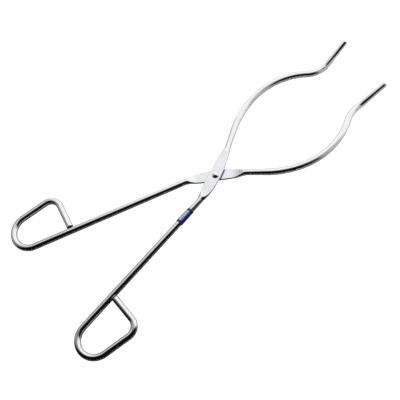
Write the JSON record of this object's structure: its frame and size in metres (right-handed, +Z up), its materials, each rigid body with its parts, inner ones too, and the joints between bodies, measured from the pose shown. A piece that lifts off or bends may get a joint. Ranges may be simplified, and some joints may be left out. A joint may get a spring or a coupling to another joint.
{
  "type": "crucible tongs",
  "caption": "Long crucible tongs of bent round steel rod: D-shaped finger loops, a riveted half-lap pivot, bowed jaws and straight upturned tips for lifting hot crucibles.",
  "frame": {"origin": "centre of the rivet tail's flat underside, on the pivot's axis and in the plane that the rods lie on", "axes": "+Y from the pivot towards the jaw tips, halfway between the arms, +X towards the finger loop of the upper (front) arm, +Z up along the pivot's axis, the way the tips are bent"},
  "size_m": [0.183, 0.393, 0.0187],
  "materials": {
    "front_arm_steel": "electropolished stainless rod with a satin forged flat",
    "rear_arm_steel": "electropolished stainless rod with a satin forged flat",
    "rivet_steel": "polished domed stainless rivet",
    "label_film": "glossy printed blue film"
  },
  "bodies": {
    "rear": {"rear_arm": "rear_arm_steel", "pivot_rivet": "rivet_steel"},
    "front": {"front_arm": "front_arm_steel", "label_sleeve": "label_film"}
  },
  "joints": [
    {"name": "pivot", "type": "hinge", "parent": "rear", "child": "front", "pos_m": [0, 0, 0.0035], "axis": [0, 0, 1], "range_deg": [-18, 40]}
  ]
}
